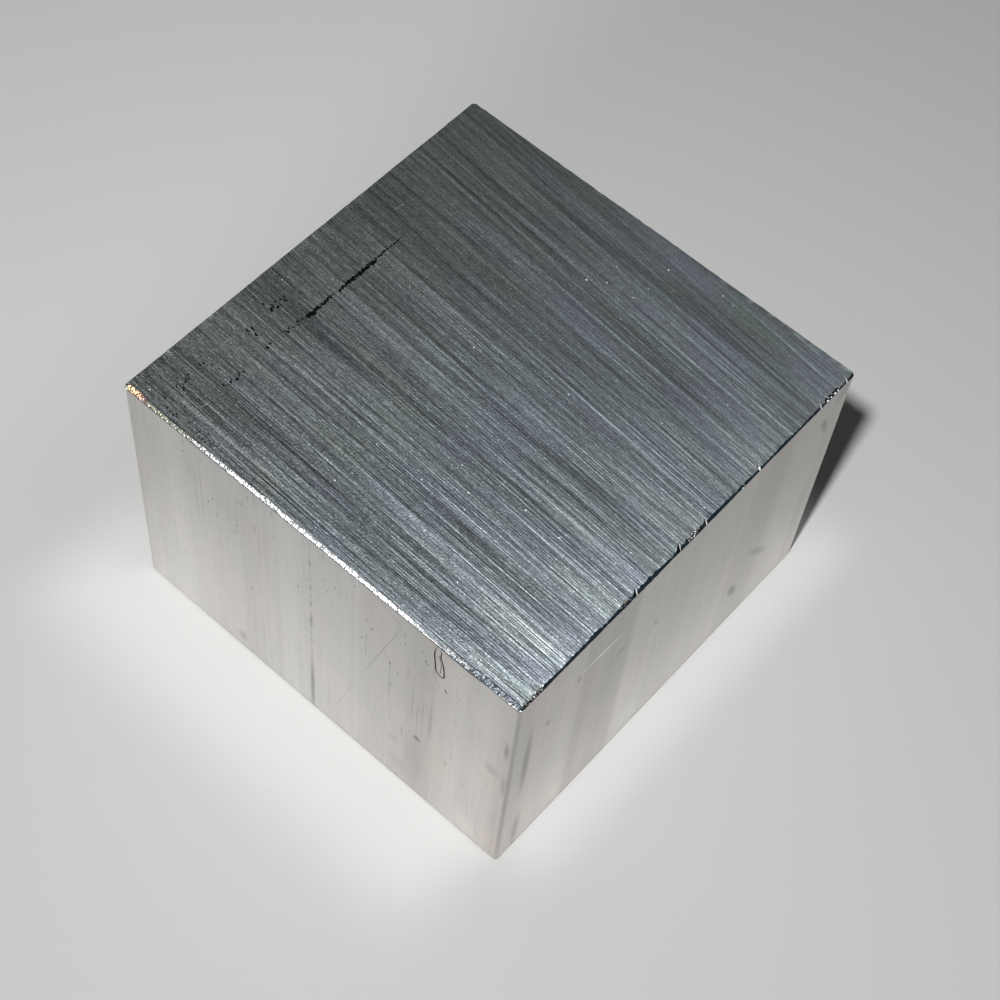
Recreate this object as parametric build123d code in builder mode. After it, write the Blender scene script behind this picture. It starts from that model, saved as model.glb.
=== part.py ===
from build123d import *
from math import hypot
import os

# A short block sawn from solid square aluminium bar, standing on one of its sawn ends.
# Sizes are in millimetres. +Z runs along the bar and the origin is the centre of the lower end.
# The front face looks along -Y, the left face along -X.

# The bar as it was drawn
bar_width = 50.0
corner_radius = 0.4

# The saw cut, and the rims it leaves at both ends
cut_length = 35.0
rim_break = 0.25

# The flat left along the upper left rim, where the saw's burr was knocked down
burr_flat_across = 0.45
burr_flat_down = 0.3

# Nicks knocked into the upper front rim: distance from the front left corner, width, reach across the end.
# They slant to the right on their way in, and their right wall is the steeper one.
nicks = [
    (15.95, 0.78, 0.8),
    (22.35, 0.8, 0.85),
    (26.25, 0.65, 0.7),
    (34.5, 0.5, 0.8),
    (44.3, 0.38, 0.65),
    (48.5, 0.42, 0.65),
]
nick_drop = 0.4
nick_slant = 0.6
nick_root_shift = 1 / 4

left_face = -bar_width / 2
front_face = -bar_width / 2

with BuildPart() as block:
    with BuildSketch() as section:
        RectangleRounded(bar_width, bar_width, corner_radius)
    extrude(amount=cut_length)

    # Both sawn ends: the sharp rim is broken all round
    sawn_ends = block.faces().filter_by(Axis.Z)
    chamfer(sawn_ends.edges(), length=rim_break)

    # Upper left rim: one flat from end to end takes the burr and the small break with it
    with BuildSketch(Plane.XZ) as burr_flat:
        with BuildLine():
            Polyline(
                (left_face, cut_length),
                (left_face, cut_length - burr_flat_down),
                (left_face + burr_flat_across, cut_length),
                close=True,
            )
        make_face()
    extrude(amount=bar_width / 2, both=True, mode=Mode.SUBTRACT)

    # Upper front rim: each nick is a V whose root climbs from the front face to the sawn end
    for from_corner, nick_width, nick_reach in nicks:
        rim_point = (left_face + from_corner, front_face, cut_length)
        root_way = (nick_slant * nick_reach, nick_reach, nick_drop)
        across_root = Plane(rim_point, x_dir=(1, -nick_slant, 0), z_dir=root_way)
        root_run = nick_reach * hypot(1, nick_slant)
        root_depth = root_run * nick_drop / hypot(root_run, nick_drop)
        root_at = nick_root_shift * nick_width
        with BuildSketch(across_root) as nick:
            with BuildLine():
                Polyline((-nick_width / 2, 0), (root_at, root_depth), (nick_width / 2, 0), close=True)
            make_face()
        extrude(amount=nick_reach, both=True, mode=Mode.SUBTRACT)

block.part.label = "block"

os.makedirs("parts", exist_ok=True)
export_step(block.part, "parts/block.step")
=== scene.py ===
# %% [markdown]
# # A block sawn from square aluminium bar
# The real object is a short piece of 50 mm square bar, cut to 35 mm and stood on one of its
# sawn ends. Its four sides are as the drawing die left them: smooth, pale, with faint upright
# lines. The two ends are as the saw left them: darker, with thousands of short grooves.
# This lesson loads the measured model first, and dresses it without changing its size.

# %% Load the measured model
import math

import bmesh
import bpy
import numpy as np
from mathutils import Matrix, Vector


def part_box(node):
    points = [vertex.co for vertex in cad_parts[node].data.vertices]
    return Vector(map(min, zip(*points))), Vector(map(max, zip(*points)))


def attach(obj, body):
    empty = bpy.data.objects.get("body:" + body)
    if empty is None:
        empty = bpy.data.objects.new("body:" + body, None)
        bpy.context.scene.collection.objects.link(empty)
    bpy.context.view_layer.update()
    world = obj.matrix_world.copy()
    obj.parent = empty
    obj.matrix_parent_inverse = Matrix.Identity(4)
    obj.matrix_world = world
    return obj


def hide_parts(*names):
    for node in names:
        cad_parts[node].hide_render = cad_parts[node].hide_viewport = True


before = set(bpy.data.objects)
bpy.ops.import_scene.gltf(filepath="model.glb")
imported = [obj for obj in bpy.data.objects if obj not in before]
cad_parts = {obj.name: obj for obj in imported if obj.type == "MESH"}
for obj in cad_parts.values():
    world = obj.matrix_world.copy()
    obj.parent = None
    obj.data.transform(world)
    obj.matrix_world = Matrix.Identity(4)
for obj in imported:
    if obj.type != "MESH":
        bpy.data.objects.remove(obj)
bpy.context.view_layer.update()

# %% [markdown]
# The block is drawn here in millimetres, as in a workshop drawing, because saw marks a few
# thousandths of a millimetre deep are easier to name that way. One factor turns the finished
# mesh to metres. The sizes repeat those of the measured model.

# %% Sizes of the bar
MM = 0.001
BAR_WIDTH = 50.0
CUT_LENGTH = 35.0
CORNER_RADIUS = 0.4
RIM_BREAK = 0.25
HALF = BAR_WIDTH / 2
SEED = 11

low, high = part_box("block")
print("block spans", [round((h - l) / MM, 2) for l, h in zip(low, high)], "mm")

# %% [markdown]
# Small helpers serve the whole lesson. Colours are written as sRGB hex values, the numbers a
# paint program shows, and Blender's shaders want them linear. The others add one node to any
# tree, set its options and fill its sockets with values or with links.

# %% Helpers for colours and nodes
def linear(hex_colour):
    """sRGB hex such as '#C0C0BE' to a linear RGBA tuple."""
    parts = [int(hex_colour[i:i + 2], 16) / 255 for i in (1, 3, 5)]
    curve = [p / 12.92 if p <= 0.04045 else ((p + 0.055) / 1.055) ** 2.4 for p in parts]
    return (*curve, 1.0)


def feed(node, inputs):
    """Fills sockets, by name or number, with values or links; a node means its first output."""
    for key, value in inputs.items():
        if isinstance(value, bpy.types.Node):
            value = value.outputs[0]
        if isinstance(value, bpy.types.NodeSocket):
            node.id_data.links.new(value, node.inputs[key])
        else:
            node.inputs[key].default_value = value
    return node


def add(tree, kind, inputs=None, **settings):
    """Adds a node to a tree, with its settings, and feeds it."""
    node = tree.nodes.new(kind)
    for name, value in settings.items():
        setattr(node, name, value)
    return feed(node, inputs or {})


def product(tree, factors):
    """All the factors multiplied, one after another."""
    total = factors[0]
    for factor in factors[1:]:
        total = add(tree, "ShaderNodeMath", {0: total, 1: factor}, operation="MULTIPLY")
    return total


print("mid grey #BCBCBC is", round(linear("#BCBCBC")[0], 3), "in linear light")

# %% [markdown]
# The camera looks down on one corner of the block, from about 22 cm away. Its place, the point
# it aims at and its roll were worked out from the outline of the block in the picture.

# %% Camera
EYE = Vector((-92.55, -67.6, 199.35)) * MM
AIM = Vector((-1.13, -3.11, 17.5)) * MM
ROLL = math.radians(7.16)
LENS = 74.86
SENSOR = 36.0
NEAREST = 10 * MM

camera = bpy.data.objects.new("camera", bpy.data.cameras.new("camera"))
bpy.context.collection.objects.link(camera)
camera.data.lens = LENS
camera.data.sensor_width = SENSOR
camera.data.clip_start = NEAREST
turn = (AIM - EYE).to_track_quat("-Z", "Y").to_matrix() @ Matrix.Rotation(ROLL, 3, "Z")
camera.matrix_world = Matrix.Translation(EYE) @ turn.to_4x4()
bpy.context.scene.camera = camera
bpy.context.scene.view_settings.view_transform = "Standard"
print("camera right", [round(v, 3) for v in turn.col[0]], "up", [round(v, 3) for v in turn.col[1]])

# %% [markdown]
# Bare metal has no colour of its own: it shows its surroundings. A sawn end looks dark in the
# picture because it faces a dim room, and the sides look pale because they mirror the floor.
# So the room is dim overhead and pale only near the horizon, and one soft lamp beside the lens
# throws the short shadow behind the block. Seen directly, the room is a plain pale backdrop.

# %% Room
PALE = linear("#DADAD8")
OVERHEAD = 0.06
HORIZON = linear("#8A8A88")
HORIZON_TOP = math.sin(math.radians(4))
OVERHEAD_FROM = math.sin(math.radians(14))

world = bpy.data.worlds.new("dim studio")
bpy.context.scene.world = world
world.use_nodes = True
room = world.node_tree
room.nodes.clear()
direction = add(room, "ShaderNodeTexCoord")
upwards = add(room, "ShaderNodeSeparateXYZ", {0: direction.outputs["Generated"]})
fade = add(room, "ShaderNodeMapRange", {
    "Value": upwards.outputs["Z"], "From Min": HORIZON_TOP, "From Max": OVERHEAD_FROM,
}, interpolation_type="SMOOTHSTEP")
dome = add(room, "ShaderNodeMix", {
    "Factor": fade, "A": HORIZON, "B": (OVERHEAD, OVERHEAD, OVERHEAD, 1),
}, data_type="RGBA")
seen = add(room, "ShaderNodeLightPath")
sky = add(room, "ShaderNodeMix", {
    "Factor": seen.outputs["Is Camera Ray"], "A": dome.outputs["Result"], "B": PALE,
}, data_type="RGBA")
shine = add(room, "ShaderNodeBackground", {"Color": sky.outputs["Result"], "Strength": 1.0})
add(room, "ShaderNodeOutputWorld", {"Surface": shine})
print("room: overhead", OVERHEAD, "horizon", round(HORIZON[0], 3))

# %% [markdown]
# The picture was taken with a small flash, so the lamp is a disk only 25 mm beside the lens. Its
# size sets how soft the edge of the shadow is, and its place how short the shadow is.

# %% Lamp
LAMP_PLACE = Vector((-84.5, -45.5, 209)) * MM
LAMP_WIDTH = 12 * MM
LAMP_WATTS = 0.50

lamp = bpy.data.objects.new("lamp", bpy.data.lights.new("lamp", "AREA"))
bpy.context.collection.objects.link(lamp)
lamp.data.shape = "DISK"
lamp.data.size = LAMP_WIDTH
lamp.data.energy = LAMP_WATTS
lamp.location = LAMP_PLACE
lamp.rotation_euler = (AIM - LAMP_PLACE).to_track_quat("-Z", "Y").to_euler()
print("lamp is", round((LAMP_PLACE - EYE).length / MM), "mm from the lens")

# %% [markdown]
# The floor is a plain pale sheet, an ordinary matt surface that takes the lamp's light and the
# shadow. Far out it fades to a flat pale backdrop, for the eye only: the block's sides mirror
# the floor as the lamp lights it. The two lit sides throw lamplight back onto the sheet. Few
# samples catch such light, so a small added glow beside their bases stands in for it.

# %% Floor
FLOOR_REACH = 3.0
FLOOR_COLOUR = linear("#C9C9C8")
BACKDROP_FROM = 200 * MM
BACKDROP_TO = 700 * MM
# shares of half the bar's width: where a glow starts, and where it ends along a side
GLOW_FROM = 0.6
GLOW_FULL = 0.9
GLOW_NONE = 1.3
# beside which side, full up to, none from, shifted along the side, strength
BOUNCES = [("X", 5 * MM, 17 * MM, 5 * MM, 0.20), ("Y", 1.5 * MM, 8 * MM, 3 * MM, 0.20)]
# painted light: the floor glows a little at the far left, a painted pool of light where the lamp's
# beam is stronger
BEAM = 0.13
BEAM_FROM = 34 * MM
BEAM_TO = 60 * MM

paper = bpy.data.materials.new("matt paper")
paper.use_nodes = True
tree = paper.node_tree
tree.nodes.clear()
spot = add(tree, "ShaderNodeTexCoord").outputs["Object"]
apart = add(tree, "ShaderNodeSeparateXYZ", {0: spot})
glows = []
for name, full_to, none_from, shift, strength in BOUNCES:
    beside = add(tree, "ShaderNodeMapRange", {
        "Value": apart.outputs[name], "From Min": -HALF * MM - none_from,
        "From Max": -HALF * MM - full_to, "To Max": strength,
    }, interpolation_type="SMOOTHSTEP")
    lit_side = add(tree, "ShaderNodeMapRange", {
        "Value": apart.outputs[name], "From Min": -GLOW_FROM * HALF * MM,
        "From Max": -HALF * MM,
    }, interpolation_type="SMOOTHSTEP")
    along = add(tree, "ShaderNodeMath", {0: apart.outputs["Y" if name == "X" else "X"],
                                         1: shift}, operation="SUBTRACT")
    off_middle = add(tree, "ShaderNodeMath", {0: along}, operation="ABSOLUTE")
    within = add(tree, "ShaderNodeMapRange", {
        "Value": off_middle, "From Min": GLOW_NONE * HALF * MM,
        "From Max": GLOW_FULL * HALF * MM,
    }, interpolation_type="SMOOTHSTEP")
    glows.append(product(tree, (beside, lit_side, within)))
beam = add(tree, "ShaderNodeMapRange", {
    "Value": apart.outputs["Y"], "From Min": BEAM_FROM, "From Max": BEAM_TO, "To Max": BEAM,
}, interpolation_type="SMOOTHSTEP")
side_bounce = add(tree, "ShaderNodeMath", {0: glows[0], 1: glows[1]}, operation="MAXIMUM")
bounce = add(tree, "ShaderNodeMath", {0: side_bounce, 1: beam}, operation="ADD")
matt = add(tree, "ShaderNodeBsdfDiffuse", {"Color": FLOOR_COLOUR, "Roughness": 1.0})
thrown = add(tree, "ShaderNodeEmission", {"Color": FLOOR_COLOUR, "Strength": bounce})
lit = add(tree, "ShaderNodeAddShader", {0: matt, 1: thrown})
backdrop = add(tree, "ShaderNodeEmission", {"Color": PALE, "Strength": 1.0})
reach = add(tree, "ShaderNodeVectorMath", {0: spot}, operation="LENGTH")
outer = add(tree, "ShaderNodeMapRange", {
    "Value": reach.outputs["Value"], "From Min": BACKDROP_FROM, "From Max": BACKDROP_TO,
}, interpolation_type="SMOOTHSTEP")
seen = add(tree, "ShaderNodeLightPath")
share = add(tree, "ShaderNodeMath", {0: outer, 1: seen.outputs["Is Camera Ray"]},
            operation="MULTIPLY")
mixed = add(tree, "ShaderNodeMixShader", {0: share, 1: lit, 2: backdrop})
add(tree, "ShaderNodeOutputMaterial", {"Surface": mixed})

floor_mesh = bpy.data.meshes.new("floor")
edge = FLOOR_REACH
floor_mesh.from_pydata([(-edge, -edge, 0), (edge, -edge, 0), (edge, edge, 0), (-edge, edge, 0)],
                       [], [(0, 1, 2, 3)])
floor = bpy.data.objects.new("floor", floor_mesh)
bpy.context.collection.objects.link(floor)
floor_mesh.materials.append(paper)
print("floor reaches", FLOOR_REACH, "m each way")

# %% [markdown]
# Every groove the saw left runs almost along y. They fan out slightly, because the blade
# wandered, so the lesson gives each point of an end a number s that stays the same all along
# one groove: x, less a lean, divided by a slow growth. Noise that is short across s and long
# in y then draws the grooves, in the mesh and in the materials alike.

# %% Saw coordinates
SAW_LEAN = 0.072
SAW_FAN = 0.0018


def saw_coordinates(points):
    """For points in mm: (s, y, z), where s is the number of the groove in mm."""
    x, y, z = np.asarray(points).T
    return np.stack([(x - SAW_LEAN * y) / (1 + SAW_FAN * y), y, z], axis=1)


print("groove through the far left corner:", saw_coordinates([(-HALF, HALF, 0)])[0].round(2))

# %% [markdown]
# All finishes are the same metal, so they share one way of being made: a Principled shader that
# is metallic, with the rest left to its surface. Sawing and drawing both leave marks that run
# one way, and such marks spread a reflection across them. An anisotropic shader does the same,
# along the grain map that the mesh gets at the end.

# %% Materials: what they share
GRAIN_MAP = "grain_map"
print("uneven metals follow the map named", GRAIN_MAP)


def metal(name, colour, roughness, uneven=0.0, shine=1.0):
    """A new metal with its tree and shader; uneven is how far its reflections are drawn out."""
    made = bpy.data.materials.new(name)
    made.use_nodes = True
    tree = made.node_tree
    tree.nodes.clear()
    shader = add(tree, "ShaderNodeBsdfPrincipled", {
        "Base Color": linear(colour), "Metallic": shine, "Roughness": roughness,
        "Anisotropic": uneven,
    })
    if uneven:
        feed(shader, {"Tangent": add(tree, "ShaderNodeTangent", direction_type="UV_MAP",
                                     uv_map=GRAIN_MAP)})
    add(tree, "ShaderNodeOutputMaterial", {"Surface": shader})
    return made, tree, shader


def drawn_out(tree, source, sizes, detail, seed):
    """Noise with spots of the given sizes along the three directions of source."""
    scaled = add(tree, "ShaderNodeVectorMath", {
        0: source, 1: [1 / size for size in sizes], 2: (seed, seed, seed),
    }, operation="MULTIPLY_ADD")
    return add(tree, "ShaderNodeTexNoise", {
        "Vector": scaled, "Scale": 1.0, "Detail": detail, "Roughness": 0.55,
    }).outputs["Fac"]


def ramps(tree, rows):
    """One ramp for each row: what it follows, from, to, and its value at either end."""
    return [add(tree, "ShaderNodeMapRange", {
        "Value": source, "From Min": low, "From Max": high, "To Min": first, "To Max": last,
    }) for source, low, high, first, last in rows]


# %% [markdown]
# A sawn end is aluminium torn by saw teeth. The grooves scatter light sideways more than
# lengthways, so it looks satin, a little blue-grey, and brighter towards the lamp. Colour and a
# fine bump both follow the saw coordinates, through noises from broad bands down to grit. The
# widest grooves are in the mesh.

# %% Sawn aluminium: the noises
LEFT = -24.0   # near the ends of s and y, in mm
RIGHT = 24.0
NEAR = -24.0
FAR = 24.0
SQUEEZE = 0.81
SQUEEZE_GROWTH = -0.004
ENDS_APART = 9.0   # a size along z that lets the two ends differ
GRAINS = {   # width and length in mm, detail, seed
    "broad": (4.0, 60.0, 1.0, 3.0), "middle": (0.6, 22.0, 2.0, 7.0),
    "coarse": (0.36, 20.0, 1.0, 17.0), "fine": (0.13, 12.0, 2.0, 13.0),
    "teeth": (0.17, 24.0, 2.0, 23.0), "dashes": (0.17, 1.0, 2.0, 29.0),
    "grit": (0.12, 0.24, 1.0, 19.0), "hue": (2.5, 10.0, 1.0, 31.0),
}

sawn, tree, shader = metal("sawn aluminium", "#B4BCC0", 0.46, uneven=0.30)
saw = add(tree, "ShaderNodeAttribute", attribute_name="saw").outputs["Vector"]
saw_parts = add(tree, "ShaderNodeSeparateXYZ", {0: saw})
s = saw_parts.outputs["X"]
y = saw_parts.outputs["Y"]
# the grooves grow broader from left to right, so s is squeezed a little there
squeeze = add(tree, "ShaderNodeMath", {0: s, 1: SQUEEZE_GROWTH, 2: SQUEEZE},
              operation="MULTIPLY_ADD")
groove = add(tree, "ShaderNodeCombineXYZ", {
    "X": product(tree, (s, squeeze)), "Y": y, "Z": saw_parts.outputs["Z"],
})
grain = {name: drawn_out(tree, groove, (width, length, ENDS_APART), detail, seed)
         for name, (width, length, detail, seed) in GRAINS.items()}
print("noises on a sawn end:", ", ".join(grain))

# %% [markdown]
# A bump adds what is too fine for the mesh: the ridges the teeth left, and a grit that grows
# stronger away from the near edge. Towards the right the bump fades to half its strength.

# %% Sawn aluminium: fine relief
RELIEF = 0.05 * MM
TEETH_SHARE = 1.3

torn, crisp = ramps(tree, [(y, NEAR, 8.0, 0.4, 1.0), (s, LEFT, RIGHT, 1.0, 0.5)])
ridges = add(tree, "ShaderNodeMath", {0: grain["teeth"], 1: TEETH_SHARE, 2: grain["fine"]},
             operation="MULTIPLY_ADD")
height = add(tree, "ShaderNodeMath", {0: grain["grit"], 1: torn, 2: ridges},
             operation="MULTIPLY_ADD")
relief = add(tree, "ShaderNodeBump", {"Height": height, "Distance": RELIEF, "Strength": crisp})
print("relief is", RELIEF / MM, "mm deep")

# %% [markdown]
# Each noise makes some streaks lighter and some darker, and the product of them all is raised to a
# power that is larger on the left, a painted highlight: the streaks stand out more on the side nearer
# the lamp's highlight. Fine noise counts for more on the left, where the burr is, and coarse noise on
# the right.

# %% Sawn aluminium: streaks
BROAD_SHARE = 0.7

fine_share, coarse_share, painted_glint_contrast = ramps(tree, [
    (s, LEFT, RIGHT, 1.6, 0.3), (s, LEFT, RIGHT, 0.4, 1.5), (s, LEFT, RIGHT, 1.7, 0.6),
])
tone = add(tree, "ShaderNodeMath", {0: grain["broad"], 1: BROAD_SHARE, 2: grain["middle"]},
           operation="MULTIPLY_ADD")
for name, part in (("fine", fine_share), ("coarse", coarse_share)):
    tone = add(tree, "ShaderNodeMath", {0: grain[name], 1: part, 2: tone},
               operation="MULTIPLY_ADD")
streaks = product(tree, ramps(tree, [
    (tone, 1.45, 2.2, 0.54, 1.27), (grain["teeth"], 0.55, 0.72, 1.0, 1.5),
    (grain["teeth"], 0.30, 0.44, 0.72, 1.0), (grain["dashes"], 0.40, 0.75, 0.90, 1.38),
    (grain["grit"], 0.42, 0.75, 0.85, 1.40),
]))
# painted highlight: the power makes the streaks stand out more on the lamp's side
uneven = add(tree, "ShaderNodeMath", {0: streaks, 1: painted_glint_contrast}, operation="POWER")
print("streaks take the tree to", len(tree.nodes), "nodes")

# %% [markdown]
# An oily film lies along the far edge, thin and bright at the left, thicker and dark at the right.
# The lamp stands on the left, and the right half and the near edge are painted brighter, a painted
# highlight, so that they are hardly darker. Broad bands lean a little to green or to violet.

# %% Sawn aluminium: film and tint
tint, far, sideways, painted_light_right, painted_light_near = ramps(tree, [
    (grain["hue"], 0.35, 0.65, 0.0, 1.0), (y, 0.0, FAR, 0.0, 1.0),
    (s, LEFT, RIGHT, 0.18, -0.08), (s, LEFT, 2.0, 0.97, 1.10), (y, NEAR, -13.0, 1.12, 1.0),
])
# the film along the far edge, plus painted light that brightens the right half and the near edge
film_and_painted_light = add(tree, "ShaderNodeMath", {
    0: far, 1: sideways, 2: product(tree, (painted_light_right, painted_light_near)),
}, operation="MULTIPLY_ADD")
tinted = add(tree, "ShaderNodeMix", {
    "Factor": tint, "A": linear("#AAB5B5"), "B": linear("#A7B0BA"),
}, data_type="RGBA")
filmed = add(tree, "ShaderNodeMix", {
    "Factor": far, "A": tinted.outputs["Result"], "B": linear("#A9B0AF"),
}, data_type="RGBA")
scored = add(tree, "ShaderNodeVectorMath", {
    0: filmed.outputs["Result"], "Scale": product(tree, (uneven, film_and_painted_light)),
}, operation="SCALE")
feed(shader, {"Base Color": scored, "Normal": relief})
print(sawn.name, "has", len(tree.nodes), "nodes")

# %% [markdown]
# The sides are aluminium pulled through a polished die. The die's scratches leave faint upright
# lines as long as the bar, and handling leaves short dull dashes. Light scatters far across the
# lines and little along them, so the sides mirror the floor's brighter strip at their base.
# Their upper part is painted darker, a painted shade, and the front side is painted darkest of the
# four, a painted shade for its more grazing view.

# %% Smudges and painted light on the two sides in view
# side, place along it, height, half width, half height, lean in degrees, brightness
SMUDGES_AND_PAINTED_LIGHT = [
    ("left", -13.6, 12.7, 0.75, 0.7, 0, 0.45), ("left", -13.3, 7.5, 2.2, 8.0, 0, 0.88),
    ("left", -13.0, 17.0, 3.6, 40.0, 0, 0.93), ("left", -22.8, 19.4, 1.3, 1.5, 15, 0.80),
    ("left", -24.2, 25.5, 0.5, 2.4, 0, 0.62), ("left", -24.4, 18.0, 0.4, 3.0, 0, 0.80),
    ("left", -11.0, 3.8, 1.8, 1.5, 0, 0.90), ("left", -10.5, 8.5, 1.2, 0.9, 0, 0.88),
    ("left", -16.8, 17.0, 1.0, 30.0, 0, 0.96), ("left", -24.6, 12.0, 1.6, 30.0, 0, 0.92),
    ("left", 10.8, 2.6, 1.1, 1.6, 0, 0.78), ("left", 11.0, 27.5, 3.2, 6.5, 0, 0.94),
    ("left", 16.5, 29.0, 1.3, 4.5, 0, 0.94), ("left", 8.0, 28.0, 0.35, 1.1, 0, 0.80),
    ("left", 22.0, 17.0, 5.0, 200.0, 0, 1.09), ("left", 17.3, 17.0, 4.5, 200.0, 0, 1.08),
    ("left", -14.5, 17.0, 4.5, 200.0, 0, 0.90), ("left", -9.0, 17.0, 6.0, 200.0, 0, 0.95),
    ("left", 6.5, 27.0, 0.9, 9.0, 0, 0.95),
    ("left", 0.65, 5.0, 0.46, 9.5, 0, 0.56), ("left", 0.65, 19.0, 0.34, 1.9, 0, 0.68),
    ("left", 0.65, 22.6, 0.3, 0.8, 0, 0.72), ("left", 0.65, 30.2, 0.3, 1.2, 0, 0.74),
    ("left", 0.65, 15.0, 0.3, 0.8, 0, 0.80), ("left", 0.65, 25.6, 0.25, 0.9, 0, 0.82),
    ("left", -9.7, 20.0, 0.22, 7.5, 0, 0.80), ("left", -9.7, 23.8, 0.3, 0.5, 0, 0.70),
    ("left", -12.75, 19.0, 0.18, 5.5, 0, 0.84), ("left", -14.1, 19.0, 0.18, 5.5, 0, 0.84),
    ("left", -15.1, 18.5, 0.24, 6.0, 0, 0.80), ("left", -11.6, 11.7, 0.22, 2.1, 0, 0.76),
    ("left", 15.2, 28.0, 0.2, 7.5, 0, 0.84), ("left", 7.4, 27.0, 0.2, 8.0, 0, 0.90),
    ("left", -17.3, 12.5, 0.4, 0.8, 0, 0.84), ("left", -20.3, 2.8, 1.8, 3.0, 0, 1.07),
    ("front", -12.6, 28.8, 4.2, 0.5, 5.9, 1.6), ("front", -19.6, 29.5, 4.6, 0.35, 0, 1.15),
    ("front", -18.6, 17.0, 3.5, 30.0, 0, 1.06), ("front", -6.0, 10.0, 3.0, 14.0, -15, 1.06),
    ("front", 19.8, 8.0, 2.5, 12.0, -15, 1.06), ("front", -22.7, 20.5, 0.8, 10.0, 0, 0.56),
    ("front", -22.5, 4.0, 0.9, 6.0, 0, 0.66), ("front", -20.1, 25.3, 0.5, 1.0, -20, 0.68),
    ("front", -9.4, 24.5, 0.9, 0.8, 0, 0.68), ("front", -3.5, 22.3, 0.45, 1.4, -20, 0.76),
    ("front", 12.2, 8.0, 1.0, 2.4, -25, 0.50), ("front", -16.0, 28.2, 0.4, 1.2, -10, 0.62),
    ("front", 21.7, 29.3, 0.7, 2.8, -20, 0.56), ("front", 15.5, 12.3, 0.8, 5.2, -42, 0.72),
    ("front", 22.8, 12.0, 1.2, 10.0, 0, 0.92), ("front", 23.4, 33.0, 1.6, 2.0, 0, 0.82),
    ("front", -5.0, 3.0, 3.0, 5.0, -15, 1.06), ("front", -16.0, 3.0, 2.0, 4.0, -15, 1.06),
    # painted reflection: the whole front is brighter towards its base, where it mirrors the lit floor
    ("front", 0.0, 0.0, 200.0, 34.0, 0, 1.15),
]
# side, place along it, half width, brightness: strips that the die left, with sharp edges
STRIPS = [
    ("left", 21.0, 3.6, 1.03), ("left", 7.4, 2.5, 0.97), ("left", 2.8, 2.0, 1.02),
    ("left", -7.6, 2.0, 0.97), ("left", -12.6, 2.9, 0.96), ("left", -18.9, 3.4, 1.03),
    ("front", -19.0, 3.5, 1.03), ("front", -11.5, 3.8, 0.87), ("front", -5.2, 2.4, 1.05),
    ("front", 6.2, 2.8, 0.98), ("front", 12.8, 2.8, 0.92), ("front", 19.3, 2.9, 1.07),
]
# the share of an oval that takes its full brightness
SOFT = 0.1
SHARP = 0.93


def oval_tone(tree, place, side, at, height, half_width, half_height, lean, brightness, core=SOFT):
    """An oval on one side: brightness inside the core's share of it, 1 outside it."""
    if side == "left":
        centre, half = (-HALF, at, height), (1.0, half_width, half_height)
        turned = (math.radians(lean), 0, 0)
    else:
        centre, half = (at, -HALF, height), (half_width, 1.0, half_height)
        turned = (0, math.radians(lean), 0)
    oval = add(tree, "ShaderNodeMapping", {
        "Vector": place, "Location": [c * MM for c in centre], "Rotation": turned,
        "Scale": [h * MM for h in half],
    }, vector_type="TEXTURE")
    out = add(tree, "ShaderNodeVectorMath", {0: oval}, operation="LENGTH")
    return add(tree, "ShaderNodeMapRange", {
        "Value": out.outputs["Value"], "From Min": core, "From Max": 1.0, "To Min": brightness,
        "To Max": 1.0,
    }, interpolation_type="SMOOTHSTEP")


print(len(SMUDGES_AND_PAINTED_LIGHT), "smudges and", len(STRIPS), "strips")

# %% [markdown]
# The noises of a drawn side are all far longer than they are wide. They follow Object
# coordinates, in metres, so their sizes are written in millimetres and turned to metres.

# %% Drawn aluminium: the noises
DRAWN_GRAINS = {   # width and length in mm, detail, seed
    "bands": (4.0, 200.0, 1.0, 2.0), "lines": (0.35, 60.0, 2.0, 5.0),
    "rubs": (0.3, 9.0, 1.0, 27.0), "dashes": (0.25, 2.0, 1.0, 9.0),
    "cloud": (6.0, 9.0, 2.0, 14.0),
}
STRIP_WIDTH = 3 * MM
LINE_DEPTH = 0.004 * MM

drawn, tree, shader = metal("drawn aluminium", "#E6E3DE", 0.38, uneven=0.65)
place = add(tree, "ShaderNodeTexCoord").outputs["Object"]
grain = {name: drawn_out(tree, place, (width * MM, width * MM, length * MM), detail, seed)
         for name, (width, length, detail, seed) in DRAWN_GRAINS.items()}
apart = add(tree, "ShaderNodeSeparateXYZ", {0: place})
y = apart.outputs["Y"]
z = apart.outputs["Z"]
# x + y runs along both sides in view, from their shared corner to their far ends
along = add(tree, "ShaderNodeMath", {0: apart.outputs["X"], 1: y}, operation="ADD")
# each strip of a side came off the die a little lighter or darker
strips = add(tree, "ShaderNodeTexVoronoi", {"W": along, "Scale": 1 / STRIP_WIDTH},
             voronoi_dimensions="1D").outputs["Color"]
strip = add(tree, "ShaderNodeSeparateXYZ", {0: strips})
relief = add(tree, "ShaderNodeBump", {"Height": grain["lines"], "Distance": LINE_DEPTH,
                                      "Strength": 1.0})
print("noises on a drawn side:", ", ".join(grain))

# %% [markdown]
# The tint mixes two whites. The brightness is one long product, in which every smudge, strip and
# noise is a factor near 1, and so are the painted shade of the upper part and the painted shade of
# the front.

# %% Drawn aluminium: tint and brightness
# painted shade: how bright the front side is painted
PAINTED_SHADE_FRONT = 0.79
BAR_REACH = 200.0
# painted shade: how bright the top of the sides is painted
PAINTED_SHADE_AT_TOP = 0.90

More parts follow.
